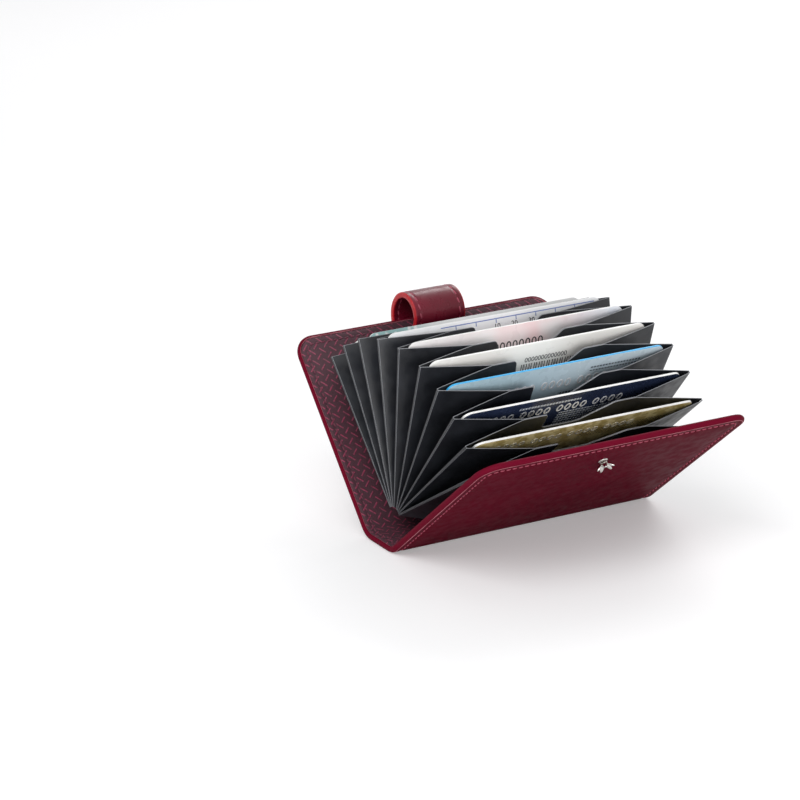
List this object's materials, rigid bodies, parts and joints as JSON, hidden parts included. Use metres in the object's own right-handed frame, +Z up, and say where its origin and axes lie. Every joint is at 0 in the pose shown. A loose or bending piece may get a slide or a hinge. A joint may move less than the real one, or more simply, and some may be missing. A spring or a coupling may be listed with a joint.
{
  "type": "accordion card wallet",
  "caption": "Leather card wallet standing open: two covers spread in a V, a black folded bellows of card pockets fanned between them, and a snap strap looped over the back cover.",
  "frame": {"origin": "middle of the flat underside of the spine, on the surface the wallet stands on", "axes": "+Z up, Y along the spine and the folds, +X from the back cover towards the front cover"},
  "size_m": [0.1317, 0.105, 0.0714],
  "materials": {
    "cover_leather": "glossy grained burgundy leather",
    "board": "plain grey board",
    "lining": "woven plum jacquard",
    "sheet": "black soft sheet, satin",
    "strap_leather": "glossy burgundy leather with painted edge",
    "snap_metal": "polished nickel",
    "card_1": "laminated plastic card",
    "card_2": "laminated plastic card",
    "card_3": "laminated plastic card",
    "card_4": "laminated plastic card",
    "card_5": "laminated plastic card",
    "card_6": "laminated plastic card",
    "card_7": "laminated plastic card",
    "card_8": "laminated plastic card"
  },
  "bodies": {
    "spine": {"spine_leather": "cover_leather", "spine_board": "board", "spine_lining": "lining"},
    "front_cover": {"front_cover_leather": "cover_leather", "front_cover_board": "board", "front_cover_lining": "lining", "front_end_sheet": "sheet", "snap_stud": "snap_metal", "stud_backplate": "snap_metal"},
    "back_cover": {"back_cover_leather": "cover_leather", "back_cover_board": "board", "back_cover_lining": "lining", "back_end_sheet": "sheet", "strap_root": "strap_leather"},
    "strap_tip": {"strap_tab": "strap_leather", "snap_cap": "snap_metal", "snap_socket": "snap_metal"},
    "pocket_0_fold": {"gusset_0": "sheet"},
    "pocket_1_fold": {"gusset_1": "sheet"},
    "pocket_2_fold": {"gusset_2": "sheet"},
    "pocket_3_fold": {"gusset_3": "sheet"},
    "pocket_4_fold": {"gusset_4": "sheet"},
    "pocket_5_fold": {"gusset_5": "sheet"},
    "pocket_6_fold": {"gusset_6": "sheet"},
    "pocket_7_fold": {"gusset_7": "sheet"},
    "pocket_8_fold": {"gusset_8": "sheet"},
    "pocket_9_fold": {"gusset_9": "sheet"},
    "divider_0_leaf": {"divider_0": "sheet"},
    "divider_1_leaf": {"divider_1": "sheet"},
    "divider_2_leaf": {"divider_2": "sheet"},
    "divider_3_leaf": {"divider_3": "sheet"},
    "divider_4_leaf": {"divider_4": "sheet"},
    "divider_5_leaf": {"divider_5": "sheet"},
    "divider_6_leaf": {"divider_6": "sheet"},
    "divider_7_leaf": {"divider_7": "sheet"},
    "divider_8_leaf": {"divider_8": "sheet"},
    "card_1_body": {"card_1": "card_1"},
    "card_2_body": {"card_2": "card_2"},
    "card_3_body": {"card_3": "card_3"},
    "card_4_body": {"card_4": "card_4"},
    "card_5_body": {"card_5": "card_5"},
    "card_6_body": {"card_6": "card_6"},
    "card_7_body": {"card_7": "card_7"},
    "card_8_body": {"card_8": "card_8"}
  },
  "joints": [
    {"name": "front_cover_fold", "type": "hinge", "parent": "spine", "child": "front_cover", "pos_m": [0.009, 0, 0], "axis": [0, 1, 0], "range_deg": [-50.5, 0]},
    {"name": "back_cover_fold", "type": "hinge", "parent": "spine", "child": "back_cover", "pos_m": [-0.009, 0, 0], "axis": [0, 1, 0], "range_deg": [0, 42.5]},
    {"name": "pocket_0_slide", "type": "slide", "parent": "back_cover", "child": "pocket_0_fold", "axis": [-0.9058, 0, -0.4237], "range_m": [0, 0.01104], "deforming": ["gusset_0"]},
    {"name": "divider_0_hinge", "type": "hinge", "parent": "pocket_0_fold", "child": "divider_0_leaf", "pos_m": [-0.00641, 0, 0.0166], "axis": [0, 1, 0], "range_deg": [-4.5, 0]},
    {"name": "pocket_1_hinge", "type": "hinge", "parent": "divider_0_leaf", "child": "pocket_1_fold", "pos_m": [-0.00526, 0, 0.01631], "axis": [0, 1, 0], "range_deg": [-5, 0], "deforming": ["gusset_1"]},
    {"name": "divider_1_hinge", "type": "hinge", "parent": "pocket_1_fold", "child": "divider_1_leaf", "pos_m": [-0.00423, 0, 0.01607], "axis": [0, 1, 0], "range_deg": [-5.5, 0]},
    {"name": "pocket_2_hinge", "type": "hinge", "parent": "divider_1_leaf", "child": "pocket_2_fold", "pos_m": [-0.00359, 0, 0.01641], "axis": [0, 1, 0], "range_deg": [-5.5, 0], "deforming": ["gusset_2"]},
    {"name": "divider_2_hinge", "type": "hinge", "parent": "pocket_2_fold", "child": "divider_2_leaf", "pos_m": [-0.00253, 0, 0.01574], "axis": [0, 1, 0], "range_deg": [-6.35, 0]},
    {"name": "pocket_3_hinge", "type": "hinge", "parent": "divider_2_leaf", "child": "pocket_3_fold", "pos_m": [-0.00182, 0, 0.01593], "axis": [0, 1, 0], "range_deg": [-6.35, 0], "deforming": ["gusset_3"]},
    {"name": "divider_3_hinge", "type": "hinge", "parent": "pocket_3_fold", "child": "divider_3_leaf", "pos_m": [-0.00107, 0, 0.01585], "axis": [0, 1, 0], "range_deg": [-6.55, 0]},
    {"name": "pocket_4_hinge", "type": "hinge", "parent": "divider_3_leaf", "child": "pocket_4_fold", "pos_m": [-0.00034, 0, 0.01589], "axis": [0, 1, 0], "range_deg": [-6.55, 0], "deforming": ["gusset_4"]},
    {"name": "pocket_9_slide", "type": "slide", "parent": "front_cover", "child": "pocket_9_fold", "axis": [0.908, 0, -0.419], "range_m": [0, 0.01173], "deforming": ["gusset_9"]},
    {"name": "divider_8_hinge", "type": "hinge", "parent": "pocket_9_fold", "child": "divider_8_leaf", "pos_m": [-0.00832, 0, 0.00278], "axis": [0, 1, 0], "range_deg": [-3.8, 0]},
    {"name": "pocket_8_hinge", "type": "hinge", "parent": "divider_8_leaf", "child": "pocket_8_fold", "pos_m": [0.00726, 0, 0.01488], "axis": [0, 1, 0], "range_deg": [0, 4.8], "deforming": ["gusset_8"]},
    {"name": "divider_7_hinge", "type": "hinge", "parent": "pocket_8_fold", "child": "divider_7_leaf", "pos_m": [0.00639, 0, 0.0151], "axis": [0, 1, 0], "range_deg": [0, 5.1]},
    {"name": "pocket_7_hinge", "type": "hinge", "parent": "divider_7_leaf", "child": "pocket_7_fold", "pos_m": [0.00587, 0, 0.01561], "axis": [0, 1, 0], "range_deg": [0, 5.1], "deforming": ["gusset_7"]},
    {"name": "divider_6_hinge", "type": "hinge", "parent": "pocket_7_fold", "child": "divider_6_leaf", "pos_m": [0.00476, 0, 0.0154], "axis": [0, 1, 0], "range_deg": [0, 5.7]},
    {"name": "pocket_6_hinge", "type": "hinge", "parent": "divider_6_leaf", "child": "pocket_6_fold", "pos_m": [0.00415, 0, 0.01581], "axis": [0, 1, 0], "range_deg": [0, 5.7], "deforming": ["gusset_6"]},
    {"name": "divider_5_hinge", "type": "hinge", "parent": "pocket_6_fold", "child": "divider_5_leaf", "pos_m": [0.00345, 0, 0.01604], "axis": [0, 1, 0], "range_deg": [0, 5.8]},
    {"name": "pocket_5_hinge", "type": "hinge", "parent": "divider_5_leaf", "child": "pocket_5_fold", "pos_m": [0.00277, 0, 0.01631], "axis": [0, 1, 0], "range_deg": [0, 5.8], "deforming": ["gusset_5"]},
    {"name": "divider_4_hinge", "type": "hinge", "parent": "pocket_5_fold", "child": "divider_4_leaf", "pos_m": [0.00193, 0, 0.01602], "axis": [0, 1, 0], "range_deg": [0, 6.25]},
    {"name": "card_1_slide", "type": "slide", "parent": "pocket_1_fold", "child": "card_1_body", "axis": [-0.5446, 0, 0.8387], "range_m": [0, 0.045]},
    {"name": "card_2_slide", "type": "slide", "parent": "pocket_2_fold", "child": "card_2_body", "axis": [-0.3746, 0, 0.9272], "range_m": [0, 0.045]},
    {"name": "card_3_slide", "type": "slide", "parent": "pocket_3_fold", "child": "card_3_body", "axis": [-0.1616, 0, 0.9869], "range_m": [0, 0.045]},
    {"name": "card_4_slide", "type": "slide", "parent": "pocket_4_fold", "child": "card_4_body", "axis": [0.0663, 0, 0.9978], "range_m": [0, 0.045]},
    {"name": "card_5_slide", "type": "slide", "parent": "pocket_5_fold", "child": "card_5_body", "axis": [0.2807, 0, 0.9598], "range_m": [0, 0.045]},
    {"name": "card_6_slide", "type": "slide", "parent": "pocket_6_fold", "child": "card_6_body", "axis": [0.4679, 0, 0.8838], "range_m": [0, 0.045]},
    {"name": "card_7_slide", "type": "slide", "parent": "pocket_7_fold", "child": "card_7_body", "axis": [0.6334, 0, 0.7738], "range_m": [0, 0.045]},
    {"name": "card_8_slide", "type": "slide", "parent": "pocket_8_fold", "child": "card_8_body", "axis": [0.7604, 0, 0.6494], "range_m": [0, 0.045]},
    {"name": "strap_swing", "type": "hinge", "parent": "back_cover", "child": "strap_tip", "pos_m": [-0.06264, 0, 0.06091], "axis": [0, 1, 0], "range_deg": [0, 110]}
  ],
  "couplings": [
    {"joint": "back_cover_fold", "follows": "front_cover_fold", "ratio": -0.84158},
    {"joint": "pocket_0_slide", "follows": "front_cover_fold", "m_per_rad": -0.012521},
    {"joint": "divider_0_hinge", "follows": "front_cover_fold", "ratio": 0.089109},
    {"joint": "pocket_1_hinge", "follows": "front_cover_fold", "ratio": 0.09901},
    {"joint": "divider_1_hinge", "follows": "front_cover_fold", "ratio": 0.10891},
    {"joint": "pocket_2_hinge", "follows": "front_cover_fold", "ratio": 0.10891},
    {"joint": "divider_2_hinge", "follows": "front_cover_fold", "ratio": 0.12574},
    {"joint": "pocket_3_hinge", "follows": "front_cover_fold", "ratio": 0.12574},
    {"joint": "divider_3_hinge", "follows": "front_cover_fold", "ratio": 0.1297},
    {"joint": "pocket_4_hinge", "follows": "front_cover_fold", "ratio": 0.1297},
    {"joint": "pocket_9_slide", "follows": "front_cover_fold", "m_per_rad": -0.013313},
    {"joint": "divider_8_hinge", "follows": "front_cover_fold", "ratio": 0.075248},
    {"joint": "pocket_8_hinge", "follows": "front_cover_fold", "ratio": -0.095049},
    {"joint": "divider_7_hinge", "follows": "front_cover_fold", "ratio": -0.10099},
    {"joint": "pocket_7_hinge", "follows": "front_cover_fold", "ratio": -0.10099},
    {"joint": "divider_6_hinge", "follows": "front_cover_fold", "ratio": -0.11287},
    {"joint": "pocket_6_hinge", "follows": "front_cover_fold", "ratio": -0.11287},
    {"joint": "divider_5_hinge", "follows": "front_cover_fold", "ratio": -0.11485},
    {"joint": "pocket_5_hinge", "follows": "front_cover_fold", "ratio": -0.11485},
    {"joint": "divider_4_hinge", "follows": "front_cover_fold", "ratio": -0.12376}
  ]
}
